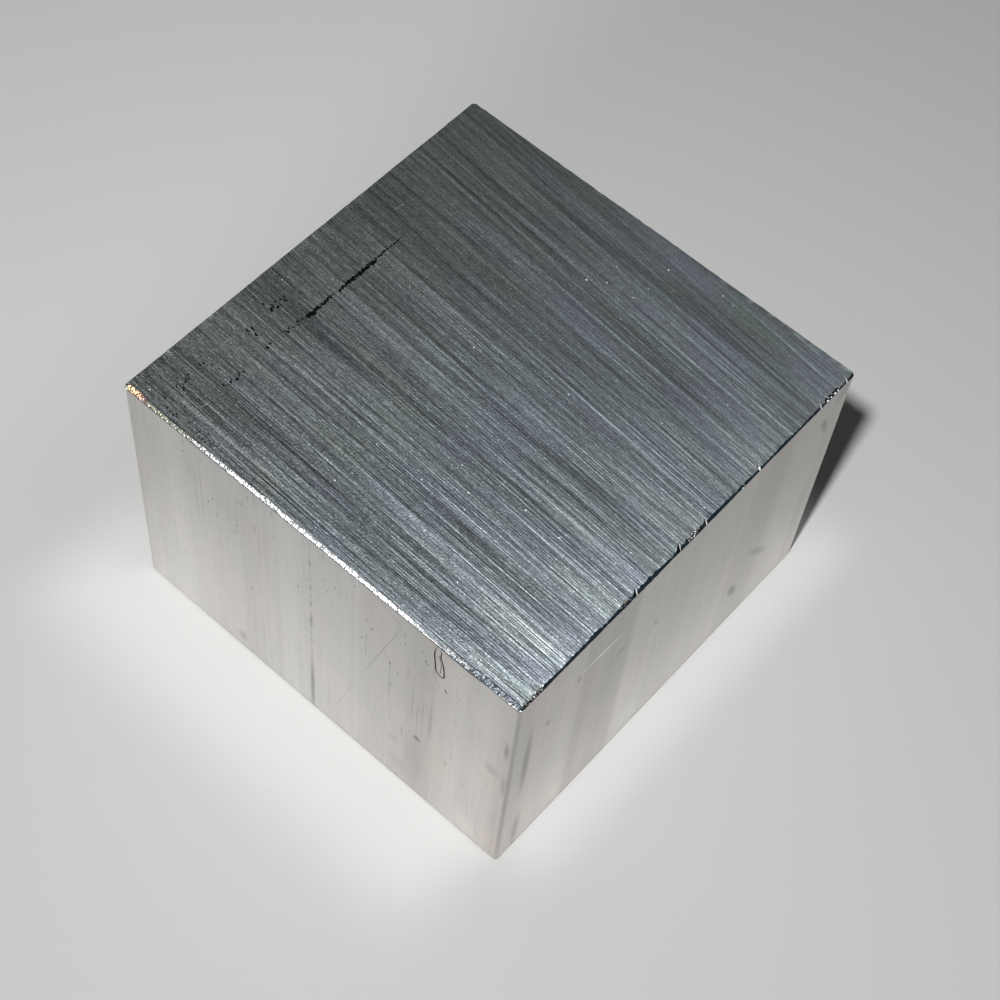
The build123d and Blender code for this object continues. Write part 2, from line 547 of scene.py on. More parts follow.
# the metal is warmer towards the base and towards the near corner
patch, low, near = ramps(tree, [
    (grain["cloud"], 0.35, 0.65, -0.25, 0.35), (z, 0.0, CUT_LENGTH * MM, 0.4, 0.0),
    (along, -1.9 * HALF * MM, -HALF * MM, 0.35, 0.0),
])
warm = add(tree, "ShaderNodeMath", {0: patch, 1: low}, operation="ADD")
warmer = add(tree, "ShaderNodeMath", {0: warm, 1: near}, operation="ADD", use_clamp=True)
tint = add(tree, "ShaderNodeMix", {
    "Factor": warmer, "A": linear("#E7E7E4"), "B": linear("#EDE5E0"),
}, data_type="RGBA").outputs["Result"]
tones = [oval_tone(tree, place, *spot) for spot in SMUDGES_AND_PAINTED_LIGHT]
tones += [oval_tone(tree, place, side, at, CUT_LENGTH / 2, half, BAR_REACH, 0, brightness, SHARP)
          for side, at, half, brightness in STRIPS]
tones += ramps(tree, [
    (grain["bands"], 0.3, 0.7, 0.94, 1.0), (grain["lines"], 0.3, 0.6, 0.97, 1.0),
    (grain["rubs"], 0.6, 0.75, 1.0, 0.93), (grain["dashes"], 0.66, 0.76, 1.0, 0.84),
    (strip.outputs["X"], 0.0, 1.0, 0.95, 1.0), (grain["cloud"], 0.3, 0.7, 0.97, 1.01),
    # painted shade: darker towards the top
    (z, 0.0, CUT_LENGTH * MM, 1.0, PAINTED_SHADE_AT_TOP),
    # painted shade: the front side darker
    (y, (0.1 - HALF) * MM, (0.4 - HALF) * MM, PAINTED_SHADE_FRONT, 1.0),
])
shade = add(tree, "ShaderNodeVectorMath", {0: tint, "Scale": product(tree, tones)},
            operation="SCALE")
feed(shader, {"Base Color": shade, "Normal": relief})
print(drawn.name, "has", len(tree.nodes), "nodes")

# %% [markdown]
# Along one rim the saw pushed up a burr, later knocked flat. It is fresh, shiny metal, with a
# copper stain at the far end and dull dirt near the corner that faces the eye. The stain and
# the dirt follow y, so one colour ramp holds them.

# %% Rolled burr
STAIN = [(0.0, "#5E6368"), (0.10, "#5A5F64"), (0.16, "#A9ADB2"), (0.2, "#F2F3F5"),
         (0.78, "#E4E5E6"), (0.85, "#DDDED2"), (0.93, "#E6E5CF"), (0.948, "#E6CFC4"),
         (0.962, "#F0BCA4"), (0.975, "#FBDCB0"), (0.995, "#FCE8BC")]
CRUMB = 0.13 * MM
CRUMB_HEIGHT = 0.05 * MM

burr, tree, shader = metal("rolled burr", "#F2F3F5", 0.40)
place = add(tree, "ShaderNodeTexCoord").outputs["Object"]
way = add(tree, "ShaderNodeSeparateXYZ", {0: place})
run = ramps(tree, [(way.outputs["Y"], -HALF * MM, HALF * MM, 0.0, 1.0)])[0]
stain = add(tree, "ShaderNodeValToRGB", {"Fac": run})
ramp = stain.color_ramp
while len(ramp.elements) < len(STAIN):
    ramp.elements.new(0.5)
for element, (stop_at, colour) in zip(ramp.elements, STAIN):
    element.position = stop_at
    element.color = linear(colour)
# crumbs between the burr's scales, too fine for the mesh
crumbs = drawn_out(tree, place, (CRUMB, CRUMB, CRUMB), 1.0, 37.0)
crumbly = add(tree, "ShaderNodeBump", {"Height": crumbs, "Distance": CRUMB_HEIGHT,
                                       "Strength": 1.0})
feed(shader, {"Base Color": stain, "Normal": crumbly})
print(burr.name, "has", len(STAIN), "colour stops")

# %% [markdown]
# The small marks are each too small to show a pattern, so a plain metal does for them. The broken rim
# is painted dark blue-grey, a painted reflection of the dim room, for it is tilted away from the pale
# floor; the same dark finish paints the shade in the burr's undercut. Grime in a score swallows the
# light, and the same near-black finish paints the shade on the nicks' walls that face away from the
# lamp and at the back of a dent. A fresh scratch is bright, a rub mark is dull and warm, and torn
# metal is so rough that it scatters most of the light, and looks white in the lamp; the same white
# paints glints on the nicks' lit walls and on the dent's lip.

# %% Small marks
# name, colour, roughness, how far reflections are drawn out, how metallic
MARKS = [
    # painted reflection: the rim's dark blue-grey stands in for the dim room it mirrors
    ("broken rim in painted shade", "#495B68", 0.42, 0.0, 1.0),
    # grime, and painted shade in the nicks and a dent
    ("grime and painted shade", "#1C1E20", 0.6, 0.0, 1.0),
    ("fresh scratch", "#F4F5F7", 0.35, 0.0, 1.0),
    ("dull rub mark", "#98958E", 0.5, 0.0, 1.0),
    # torn metal, and painted glints on the nicks and the dent
    ("torn metal and painted glints", "#F0F1F1", 0.6, 0.0, 0.3),
]
FINISHES = [sawn, drawn, burr] + [metal(*mark)[0] for mark in MARKS]
SAWN, DRAWN, BURR, PAINTED_SHADE_RIM, GRIME_AND_SHADE, FRESH, DULL, TORN_AND_GLINT = range(len(FINISHES))
print("finishes:", [m.name for m in FINISHES])

# %% [markdown]
# The block's skin is built ring by ring. Each ring walks round the rounded square once. The
# columns are close together on the two sides that face the eye, where the rim is chipped. A
# ring further in than the corner radius keeps a very small one, so that it never folds over.

# %% Outline of the bar
FINE_STEP = 0.1
COARSE_STEP = 0.25
CORNER_STEPS = 8
LEAST_RADIUS = 0.06
CORE = HALF - CORNER_RADIUS

walks = [((1, 0), (0, -1), FINE_STEP), ((0, 1), (1, 0), COARSE_STEP),
         ((-1, 0), (0, 1), COARSE_STEP), ((0, -1), (-1, 0), FINE_STEP)]
squares = []
outwards = []
for walk, facing, step in walks:
    walk = np.array(walk, float)
    facing = np.array(facing, float)
    share = np.linspace(-1, 1, round(2 * CORE / step) + 1)[:, None]
    squares.append(share * walk + facing)
    outwards.append(np.repeat(facing[None], len(share), axis=0))
    angle = np.linspace(0, math.pi / 2, CORNER_STEPS + 1)[1:-1, None]
    squares.append(np.repeat((walk + facing)[None], len(angle), axis=0))
    outwards.append(np.cos(angle) * facing + np.sin(angle) * walk)
squares = np.concatenate(squares)
outwards = np.concatenate(outwards)
columns = len(squares)
on_left = np.clip(-outwards[:, 0], 0, 1) ** 2
on_front = np.clip(-outwards[:, 1], 0, 1) ** 2
column_y = squares[:, 1] * CORE
print("columns round the bar:", columns)


def walk_round(inset):
    """x and y of one ring in mm, for an inset at each column."""
    radius = np.maximum(CORNER_RADIUS - inset, LEAST_RADIUS)
    core = HALF - inset - radius
    return squares * core[:, None] + outwards * radius[:, None]


# %% [markdown]
# The rim is broken unevenly all round, most on the two sides that were handled. On the upper left rim
# the burr takes its place: an undercut painted dark as shade, a lip, a rolled back and an inner foot.
# Each row below gives the inset and the depth of one ring, on a plain rim and on the burr.

# %% Rings of the rim
BACK_RIM = 0.12
NEAR_RIM = 0.27
LEAST_RIM = 0.06
MOST_RIM = 0.42
END_INSET = 0.72
KNOTS = 2   # columns from one chance height to the next
SLOW_KNOTS = 14
wear = np.random.default_rng(SEED)
ragged = np.zeros(columns)
for apart, height in ((KNOTS, 0.04), (SLOW_KNOTS, 0.05)):
    knots = np.arange(0, columns + apart, apart)
    ragged += np.interp(np.arange(columns), knots, wear.normal(0, height, len(knots)))
rim_break = BACK_RIM + (NEAR_RIM - BACK_RIM) * np.maximum(on_left, on_front)
# the front rim is thinner on its right half
rim_break *= np.interp(squares[:, 0] * CORE, [0, 8], [1.0, 0.7]) ** on_front
rim_break = np.clip(rim_break * (1 + ragged / RIM_BREAK), LEAST_RIM, MOST_RIM)
undercut = np.interp(column_y, [-21, -19.5, -16, -14.5], [0.45, 0.62, 0.58, 0.48])
plain = np.zeros(columns)

# the burr is wider at both ends; towards the near corner it is dull, with a thin bright lip
spread = np.interp(column_y, [-20, -17.5, -15.5, -13.5, -11.5, 15, 17, 22, 23.5],
                   [1.5, 0.8, 0.5, 0.5, 0.9, 1.0, 0.8, 0.8, 1.6])
lip_worn = wear.random(columns) < np.interp(column_y, [-24.5, -20.0], [0.9, 0.0])
lip_finish = np.where(lip_worn & (column_y < -20.0), FRESH, BURR)

# plain inset, plain depth, burr inset, burr depth, share of the burr's roll, the two finishes
rim_rows = [
    (plain, plain + 0.75, 0.0, 0.75, 0.0, DRAWN, DRAWN),
    # the undercut under the burr wears the dark rim finish, a painted shade
    (plain, rim_break + 0.12, 0.03, undercut, 0.0, DRAWN, PAINTED_SHADE_RIM),
    (plain, rim_break, 0.0, 0.20, 0.7, PAINTED_SHADE_RIM, lip_finish),
    (rim_break * 0.2, rim_break * 0.8, 0.05, 0.18, 1.0, PAINTED_SHADE_RIM, BURR),
    (rim_break * 0.4, rim_break * 0.6, 0.11 * spread, 0.155, 1.0, PAINTED_SHADE_RIM, BURR),
    (rim_break * 0.6, rim_break * 0.4, 0.18 * spread, 0.125, 1.0, PAINTED_SHADE_RIM, BURR),
    (rim_break * 0.8, rim_break * 0.2, 0.25 * spread, 0.095, 0.9, PAINTED_SHADE_RIM, BURR),
    (rim_break * 0.9, rim_break * 0.1, 0.31 * spread, 0.07, 0.7, PAINTED_SHADE_RIM, BURR),
    (rim_break, plain, 0.36 * spread + 0.6 * ragged, 0.0, 0.0, SAWN, SAWN),
    (plain + END_INSET, plain, END_INSET, 0.0, 0.0, SAWN, SAWN),
]
print("rim broken by", rim_break.min().round(2), "to", rim_break.max().round(2), "mm")

# %% [markdown]
# Stacking is then one small helper, called once for each ring from the lower end up. It also
# stores how much of the saw's and the burr's relief each point takes, and which way that goes.

# %% Stack the rings
SIDE_FOOT = 1.0
SIDE_HEAD = CUT_LENGTH - 1.3
WALL_ROWS = 7

rings = {"place": [], "inward": [], "sawn": [], "burr": []}
strips = []
up = np.tile((0.0, 0.0, 1.0), (columns, 1))
side_in = np.column_stack([-outwards, plain])


def ring(inset, height, inward, sawn_share=0.0, roll=0.0, finish=DRAWN):
    """Stacks one ring of points with its weights, and the finish of the strip above it."""
    rings["place"].append(np.column_stack([walk_round(plain + inset), plain + height]))
    rings["inward"].append(inward)
    rings["sawn"].append(plain + sawn_share)
    rings["burr"].append(plain + roll)
    strips.append(np.broadcast_to(finish, columns))


ring(END_INSET, 0.0, up, 1.0, finish=SAWN)
ring(RIM_BREAK, 0.0, up, 1.0, finish=PAINTED_SHADE_RIM)
ring(0.0, RIM_BREAK, 0 * up)
for height in np.linspace(SIDE_FOOT, SIDE_HEAD, WALL_ROWS):
    ring(0.0, height, side_in)
for row, (inset, depth, burr_inset, burr_depth, roll, finish, on_burr) in enumerate(rim_rows):
    from_end = len(rim_rows) - row
    inward = side_in if row == 0 else 0 * up
    if from_end <= 2:
        inward = -up * (1 - on_left * (from_end == 2))[:, None]
    ring(inset + (burr_inset - inset) * on_left,
         CUT_LENGTH - depth - (burr_depth - depth) * on_left, inward,
         float(from_end <= 2), roll * on_left, np.where(on_left > 0.4, on_burr, finish))
ring_count = len(strips)
print("rings:", ring_count)

# %% [markdown]
# The ends are grids whose columns follow the saw: a tenth of a millimetre apart across the
# grooves and eight tenths along them. The lower end, which is hidden, has a coarser one. Their
# borders have other counts than the rings, so a little zip joins the two, always stepping on
# the side that lags behind in angle.

# %% Ends
GRID_INSET = 0.95
BOTTOM_STEPS = (0.25, 1.0)
TOP_STEPS = (FINE_STEP, 0.8)


def end_grid(height, step_x, step_y, facing):
    """A flat grid inside the rim: its points, faces and border; facing is 1 up or -1 down."""
    half = HALF - GRID_INSET
    xs = np.linspace(-half, half, round(2 * half / step_x) + 1)
    ys = np.linspace(-half, half, round(2 * half / step_y) + 1)
    grid = np.array([(x, y, height) for y in ys for x in xs])
    number = np.arange(len(grid)).reshape(len(ys), len(xs))
    quads = np.stack([number[:-1, :-1], number[:-1, 1:], number[1:, 1:], number[1:, :-1]], -1)
    quads = quads.reshape(-1, 4)[:, ::facing]
    border = np.concatenate([number[0, :-1], number[:-1, -1], number[-1, :0:-1],
                             number[:0:-1, 0]])
    return grid, quads, border


def zip_rings(outer, inner, places):
    """Triangles between two rings of point numbers with different counts."""
    def angles(ring_numbers):
        raw = np.unwrap(np.arctan2(places[ring_numbers][:, 1], places[ring_numbers][:, 0]))
        return np.append(raw, raw[0] + 2 * math.pi)

    outer_angle, inner_angle = angles(outer), angles(inner)
    i = j = 0
    faces = []
    while i < len(outer) or j < len(inner):
        a, b = outer[i % len(outer)], inner[j % len(inner)]
        if j == len(inner) or (i < len(outer) and outer_angle[i + 1] <= inner_angle[j + 1]):
            i += 1
            faces.append((a, outer[i % len(outer)], b))
        else:
            j += 1
            faces.append((a, inner[j % len(inner)], b))
    return faces


print("grid steps on the upper end:", TOP_STEPS, "mm")

# %% [markdown]
# The strips between the rings, the two grids and the two zips are all the faces there are. Each
# strip has its finishes already, and all that is left over is sawn.

# %% All faces
faces = []
finishes = []
for r in range(ring_count - 1):
    here = np.arange(columns) + r * columns
    there = here + columns
    faces += np.stack([here, np.roll(here, -1), np.roll(there, -1), there], 1).tolist()
    finishes += strips[r].tolist()

bottom, bottom_quads, bottom_border = end_grid(0.0, *BOTTOM_STEPS, -1)
top, top_quads, top_border = end_grid(CUT_LENGTH, *TOP_STEPS, 1)
bottom_start = ring_count * columns
top_start = bottom_start + len(bottom)
places = np.concatenate(rings["place"] + [bottom, top])
faces += (bottom_quads + bottom_start).tolist() + (top_quads + top_start).tolist()
first_ring = np.arange(columns)
last_ring = first_ring + (ring_count - 1) * columns
faces += [f[::-1] for f in zip_rings(first_ring, bottom_border + bottom_start, places)]
faces += zip_rings(last_ring, top_border + top_start, places)
finishes += [SAWN] * (len(faces) - len(finishes))
inward = np.concatenate(rings["inward"] + [np.tile((0.0, 0.0, 1.0), (len(bottom), 1)),
                                           np.tile((0.0, 0.0, -1.0), (len(top), 1))])
caps = np.ones(len(bottom) + len(top))
sawn_share = np.concatenate(rings["sawn"] + [caps])
burr_share = np.concatenate(rings["burr"] + [0 * caps])
print("points", len(places), "faces", len(faces))


# %% [markdown]
# The points go into one mesh with what the trees need to know about each. Along the left rim
# that is where the burr flashes in the lamp, where it is ribbed like a comb, and how fine its
# scales are.

# %% Put the skin together
def piece_from(name, verts, edges, faces, **attributes):
    """A mesh object in mm with float or vector attributes on its points."""
    mesh = bpy.data.meshes.new(name)
    mesh.from_pydata([tuple(v) for v in verts], edges, faces)
    for key, values in attributes.items():
        vector = np.ndim(values) == 2
        layer = mesh.attributes.new(key, "FLOAT_VECTOR" if vector else "FLOAT", "POINT")
        layer.data.foreach_set("vector" if vector else "value", np.ravel(values))
    made = bpy.data.objects.new(name, mesh)
    bpy.context.collection.objects.link(made)
    return made


def set_finishes(made, numbers):
    """Stores which finish each face wears, as a number that trees can read."""
    layer = made.data.attributes.new("finish", "INT", "FACE")
    layer.data.foreach_set("value", np.asarray(numbers, dtype=np.int32))


def measure(words, mesh):
    """Prints what a mesh in mm holds, and whether it is closed."""
    closed = bmesh.new()
    closed.from_mesh(mesh)
    print(words, "faces", len(closed.faces), "open edges",
          sum(not e.is_manifold for e in closed.edges), "cubic mm",
          round(closed.calc_volume(signed=True), 2))
    closed.free()


# where the burr flashes and where it is ribbed, from the near corner to the far one
GLINT = ([-25, -22, -20, -15, -13.5, -11.5, -4, -3, 3, 4, 13, 16.5, 22, 23, 25],
         [0.1, 0.0, -0.35, -0.2, 0.2, 1.0, 1.0, -0.3, -0.3, 1.0, 1.0, 0.0, 0.0, 1.0, 1.0])
COMB = ([-4.5, -3.5, 3.5, 4.5, 14, 17, 22, 23], [0, 1, 1, 0, 0, 0.6, 0.6, 0])
# how much finer its scales are, and a length along y that is stretched by it
FINER = ([-20, -18, -12, -10, 13.5, 16, 21, 22.5], [1.6, 1.9, 1.9, 1.0, 1.0, 1.9, 1.9, 1.0])
finer = np.interp(places[:, 1], *FINER)
runs = np.linspace(-HALF, HALF, 501)
stretched = np.cumsum(np.interp(runs, *FINER)) * (runs[1] - runs[0])
scale_place = np.stack([(places[:, 0] + HALF) * finer, np.interp(places[:, 1], runs, stretched),
                        0 * finer], axis=1)
block = piece_from("sawn_block", places, [], faces, inward=inward, sawn=sawn_share,
                   burr=burr_share / finer, saw=saw_coordinates(places), scales=scale_place,
                   glint=np.interp(places[:, 1], *GLINT), comb=np.interp(places[:, 1], *COMB))
set_finishes(block, finishes)
measure("bare skin:", block.data)

# %% [markdown]
# Geometry Nodes do the rest of the shaping. Every tree of this lesson starts and ends in the same
# way: it takes named sizes, and it leaves real geometry with a material for each finish. After
# each tree the result is kept as a plain mesh and measured.

# %% Helpers for Geometry Nodes
def new_tree(name, sizes):
    """A Geometry Nodes tree with a geometry input and output and named inputs."""
    kinds = {float: "NodeSocketFloat", int: "NodeSocketInt"}
    tree = bpy.data.node_groups.new(name, "GeometryNodeTree")
    tree.interface.new_socket("Geometry", in_out="INPUT", socket_type="NodeSocketGeometry")
    for key, value in sizes.items():
        kind = kinds.get(type(value), "NodeSocketObject")
        tree.interface.new_socket(key, in_out="INPUT", socket_type=kind)
    tree.interface.new_socket("Geometry", in_out="OUTPUT", socket_type="NodeSocketGeometry")
    return tree, tree.nodes.new("NodeGroupInput").outputs


def close_tree(tree, geometry):
    """Realizes what the tree made and gives each face the material of its finish number."""
    worn = add(tree, "GeometryNodeInputNamedAttribute", {"Name": "finish"}, data_type="INT")
    last = add(tree, "GeometryNodeRealizeInstances", {"Geometry": geometry})
    for number, finish in enumerate(FINISHES):
        chosen = add(tree, "FunctionNodeCompare", {"A": worn.outputs["Attribute"], "B": number},
                     data_type="INT", operation="EQUAL")
        last = add(tree, "GeometryNodeSetMaterial", {
            "Geometry": last, "Selection": chosen, "Material": finish,
        })
    add(tree, "NodeGroupOutput", {0: last})


def grow(made, tree, sizes):
    """Runs a tree on a piece with its inputs set, and keeps the result as a plain mesh."""
    live = made.modifiers.new(tree.name, "NODES")
    live.node_group = tree
    for item in tree.interface.items_tree:
        if item.in_out == "INPUT" and item.name in sizes:
            live[item.identifier] = sizes[item.name]
    made.update_tag()
    graph = bpy.context.evaluated_depsgraph_get()
    result = bpy.data.meshes.new_from_object(made.evaluated_get(graph))
    made.modifiers.remove(live)
    made.data = result
    measure(f"after {tree.name}:", result)


# %% [markdown]
# The first tree presses the saw's grooves into both ends and the die's lines into the sides. It
# draws two noises out along the saw's way and moves each point inwards by their sum. The highest
# ridges stay at the measured surface, so the block never grows. On the sides the noise ignores
# z, so each line runs the length of the bar.

# %% Saw and die marks
sizes = {"Groove width": 0.36, "Groove length": 9.0, "Groove depth": 0.08,
         "Wave width": 5.0, "Wave length": 40.0, "Wave depth": 0.06,
         "Die line width": 1.1, "Die line depth": 0.008}
RIDGES_AT = 0.3
tree, given = new_tree("saw and die marks", sizes)
saw = add(tree, "GeometryNodeInputNamedAttribute", {"Name": "saw"}, data_type="FLOAT_VECTOR")
sawn_part = add(tree, "GeometryNodeInputNamedAttribute", {"Name": "sawn"}, data_type="FLOAT")
inwards = add(tree, "GeometryNodeInputNamedAttribute", {"Name": "inward"},
              data_type="FLOAT_VECTOR")
footprint = add(tree, "ShaderNodeVectorMath", {
    0: add(tree, "GeometryNodeInputPosition"), 1: (1, 1, 0),
}, operation="MULTIPLY")


def marks(source, width, length, depth):
    """Noise with spots of width by length, times depth; its highest ridges stay at nought."""
    spot = add(tree, "ShaderNodeCombineXYZ", {"X": width, "Y": length, "Z": length})
    scaled = add(tree, "ShaderNodeVectorMath", {0: source, 1: spot}, operation="DIVIDE")
    noise = add(tree, "ShaderNodeTexNoise", {
        "Vector": scaled, "Scale": 1.0, "Detail": 1.0, "Roughness": 0.6,
    }).outputs["Fac"]
    return product(tree, (*ramps(tree, [(noise, RIDGES_AT, 1.0, 0.0, 1 - RIDGES_AT)]), depth))


groove = marks(saw, given["Groove width"], given["Groove length"], given["Groove depth"])
wave = marks(saw, given["Wave width"], given["Wave length"], given["Wave depth"])
die = marks(footprint, given["Die line width"], given["Die line width"],
            given["Die line depth"])
saw_cut = add(tree, "ShaderNodeMath", {0: groove, 1: wave}, operation="ADD")
depth = add(tree, "ShaderNodeMix", {"Factor": sawn_part, "A": die, "B": saw_cut})
offset = add(tree, "ShaderNodeVectorMath", {0: inwards, "Scale": depth}, operation="SCALE")
moved = add(tree, "GeometryNodeSetPosition", {"Geometry": given["Geometry"], "Offset": offset})
close_tree(tree, moved)
grow(block, tree, sizes)

# %% [markdown]
# The burr is a crust of little scales. Voronoi noise deals it into cells, and each cell is
# tipped by its own amount, so that some face the lamp and flash white while their neighbours
# stay grey. Where the burr is ribbed like a comb, a sine adds the ribs.

# %% Burr scales: cells and their tilt
sizes = {"Scale width": 0.26, "Scale length": 0.55, "Tilt": 0.22, "Tilt spread": 0.30,
         "Sink": 0.05, "Comb pitch": 0.30, "Comb height": 0.028, "Highest": 0.03}
tree, given = new_tree("burr scales", sizes)
roll, glint, comb = [add(tree, "GeometryNodeInputNamedAttribute", {"Name": name},
                         data_type="FLOAT") for name in ("burr", "glint", "comb")]
flat = add(tree, "GeometryNodeInputNamedAttribute", {"Name": "scales"},
           data_type="FLOAT_VECTOR")
spot = add(tree, "ShaderNodeCombineXYZ", {"X": given["Scale width"], "Y": given["Scale length"],
                                          "Z": 1.0})
scaled = add(tree, "ShaderNodeVectorMath", {0: flat, 1: spot}, operation="DIVIDE")
cells = add(tree, "ShaderNodeTexVoronoi", {"Vector": scaled, "Scale": 1.0},
            voronoi_dimensions="2D")
lots = add(tree, "ShaderNodeSeparateXYZ", {0: cells.outputs["Color"]})
local = add(tree, "ShaderNodeVectorMath", {0: scaled, 1: cells.outputs["Position"]},
            operation="SUBTRACT")
local_mm = add(tree, "ShaderNodeVectorMath", {0: local, 1: spot}, operation="MULTIPLY")
# each cell draws its lot around no tilt across the burr, and around the glint's tilt along it
half_spread = product(tree, (given["Tilt spread"], -0.5))
least = add(tree, "ShaderNodeMath", {0: glint, 1: given["Tilt"], 2: half_spread},
            operation="MULTIPLY_ADD")
tilt_x = add(tree, "ShaderNodeMath", {0: lots.outputs["X"], 1: given["Tilt spread"],
                                      2: half_spread}, operation="MULTIPLY_ADD")
tilt_y = add(tree, "ShaderNodeMath", {0: lots.outputs["Y"], 1: given["Tilt spread"],
                                      2: least}, operation="MULTIPLY_ADD")
tilt = add(tree, "ShaderNodeCombineXYZ", {"X": tilt_x, "Y": tilt_y})
rise = add(tree, "ShaderNodeVectorMath", {0: local_mm, 1: tilt}, operation="DOT_PRODUCT")
sink = product(tree, (lots.outputs["Z"], given["Sink"]))
scales = add(tree, "ShaderNodeMath", {0: rise.outputs["Value"], 1: sink}, operation="SUBTRACT")
print("a scale is", sizes["Scale width"], "by", sizes["Scale length"], "mm")

# %% [markdown]
# The comb's ribs follow y. They join the scales, the sum is kept below a limit, and it fades out
# at both edges of the burr.

# %% Burr scales: comb and height
at = add(tree, "ShaderNodeSeparateXYZ", {0: add(tree, "GeometryNodeInputPosition")})
turns = add(tree, "ShaderNodeMath", {0: at.outputs["Y"], 1: given["Comb pitch"]},
            operation="DIVIDE")
wavy = add(tree, "ShaderNodeMath", {0: product(tree, (turns, 2 * math.pi))}, operation="SINE")
ribbed = add(tree, "ShaderNodeMath", {
    0: product(tree, (wavy, given["Comb height"])), 1: comb, 2: scales,
}, operation="MULTIPLY_ADD")
kept_low = add(tree, "ShaderNodeMath", {0: ribbed, 1: given["Highest"]}, operation="MINIMUM")
offset = add(tree, "ShaderNodeCombineXYZ", {"Z": product(tree, (kept_low, roll))})
moved = add(tree, "GeometryNodeSetPosition", {"Geometry": given["Geometry"], "Offset": offset})
close_tree(tree, moved)
grow(block, tree, sizes)

# %% [markdown]
# Knocks and scratches are cut out of the metal, as they were on the real block. A cutter mesh is
# taken away with Mesh Boolean, and the new faces keep the cutter's finish: dark grime in an old
# score, bright metal in a fresh one. The first cutters are the V nicks of the front rim. The wall of
# a nick that faces away from the lamp is painted black, a painted shade, and the wall that faces it
# is painted white, a painted glint.

# %% Nicks in the front rim
NICKS = [(15.95, 0.78, 0.8), (22.35, 0.8, 0.85), (26.25, 0.65, 0.7), (34.5, 0.5, 0.8),
         (44.3, 0.38, 0.65), (48.5, 0.42, 0.65)]
NICK_DROP = 0.4
NICK_SLANT = 0.6
ROOT_SHIFT = 1 / 4
# a cutter stands taller than its nick, and reaches past both its ends
TALLER = 1.6
OVERSHOOT = 0.3

across = np.array((1, -NICK_SLANT, 0)) / math.hypot(1, NICK_SLANT)
verts = []
faces = []
for from_corner, width, reach in NICKS:
    start = len(verts)
    root = ROOT_SHIFT * width
    left = root - TALLER * (root + width / 2)
    right = root + TALLER * (width / 2 - root)
    for share in (-OVERSHOOT, 1 + OVERSHOOT):
        low = np.array((-HALF + from_corner + NICK_SLANT * reach * share,
                        -HALF + reach * share, CUT_LENGTH - NICK_DROP * (1 - share)))
        high = low + (0, 0, TALLER * NICK_DROP)
        verts += [high + left * across, low + root * across, high + right * across]
    faces += [tuple(start + i for i in f) for f in
              ((0, 1, 2), (3, 5, 4), (0, 3, 4, 1), (1, 4, 5, 2), (2, 5, 3, 0))]
nicks = piece_from("nick_cutters", verts, [], faces)
# the faces of each cutter: two ends, the wall that faces away from the lamp in painted shade, the
# wall that faces it with a painted glint, and the top
set_finishes(nicks, [PAINTED_SHADE_RIM, PAINTED_SHADE_RIM, GRIME_AND_SHADE, TORN_AND_GLINT, PAINTED_SHADE_RIM] * len(NICKS))


def cut_away(tree, given, cutters):
    """Takes the cutters from the piece, and closes the tree."""
    close_tree(tree, add(tree, "GeometryNodeMeshBoolean", {
        "Mesh 1": given["Geometry"], "Mesh 2": cutters,
    }, operation="DIFFERENCE", solver="MANIFOLD"))


tree, given = new_tree("cut away", {"Cutter": nicks})
cutter = add(tree, "GeometryNodeObjectInfo", {"Object": given["Cutter"]})
cut_away(tree, given, cutter.outputs["Geometry"])
grow(block, tree, {"Cutter": nicks})

# %% [markdown]
# Small pits come next: the torn flecks along the score on the top, the specks left by stray
# teeth, and chips along the front rim. Each is a squashed ball set half into the surface. A
# cloud of points holds the place, size and turn of each, and the tree puts a ball on every one.

# %% Pits: the score on the sawn end
def pit_turn(across, along):
    """Euler angles that lay a ball's x across a mark and its y along it."""
    across = Vector(across).normalized()
    along = Vector(along).normalized()
    return tuple(Matrix((across, along, across.cross(along))).transposed().to_euler())


TOP_TURN = pit_turn((1, -SAW_LEAN, 0), (SAW_LEAN, 1, 0))
LEFT_TURN = pit_turn((0, -1, 0), (0, 0, 1))
FLECK_SUNK = 0.05
FLECK_DEPTH = 0.06
# from x to x, y, spread in y, one every so many mm, width and length
FLECKS = [
    (-7.2, -6.3, 18.1, 0.09, 0.10, 0.40, 0.60), (-6.2, -3.5, 18.15, 0.08, 0.10, 0.32, 0.42),
    (-2.8, 2.5, 18.1, 0.08, 0.10, 0.32, 0.45), (2.5, 6.5, 18.2, 0.04, 0.13, 0.24, 0.24),
    (-18.5, -16.1, 18.0, 0.12, 0.3, 0.26, 0.40), (-12.6, -11.8, 18.3, 0.15, 0.2, 0.24, 0.35),
    (-10.0, -7.6, 18.2, 0.15, 0.3, 0.24, 0.35), (-21.8, -20.0, 21.2, 0.5, 0.16, 0.22, 0.36),
    (-23.8, -23.2, 21.0, 0.5, 0.25, 0.2, 0.3), (-18.3, -17.7, 21.3, 0.4, 0.2, 0.22, 0.36),
    (-12.35, -11.85, 21.0, 0.5, 0.08, 0.26, 0.5), (-9.2, -7.0, 21.2, 0.4, 0.16, 0.24, 0.36),
]

chance = np.random.default_rng(SEED + 1)
# each pit: place, half sizes across, along and into the metal, turn
dark_pits = []
bright_pits = []
dull_pits = []
for x_from, x_to, y, spread, every, width, length in FLECKS:
    for x in np.linspace(x_from, x_to, max(1, round((x_to - x_from) / every))):
        at = (x + chance.normal(0, every / 3), y + chance.normal(0, spread),
              CUT_LENGTH - FLECK_SUNK)
        half = (width * chance.uniform(0.3, 0.75), length * chance.uniform(0.3, 0.75),
                FLECK_DEPTH)
        dark_pits.append((at, half, TOP_TURN))
print("flecks along the score:", len(dark_pits))

# %% [markdown]
# A bright speck is a spot that a single tooth tore. A few have their own places. The rest are
# fainter and lie anywhere but in the far right corner.

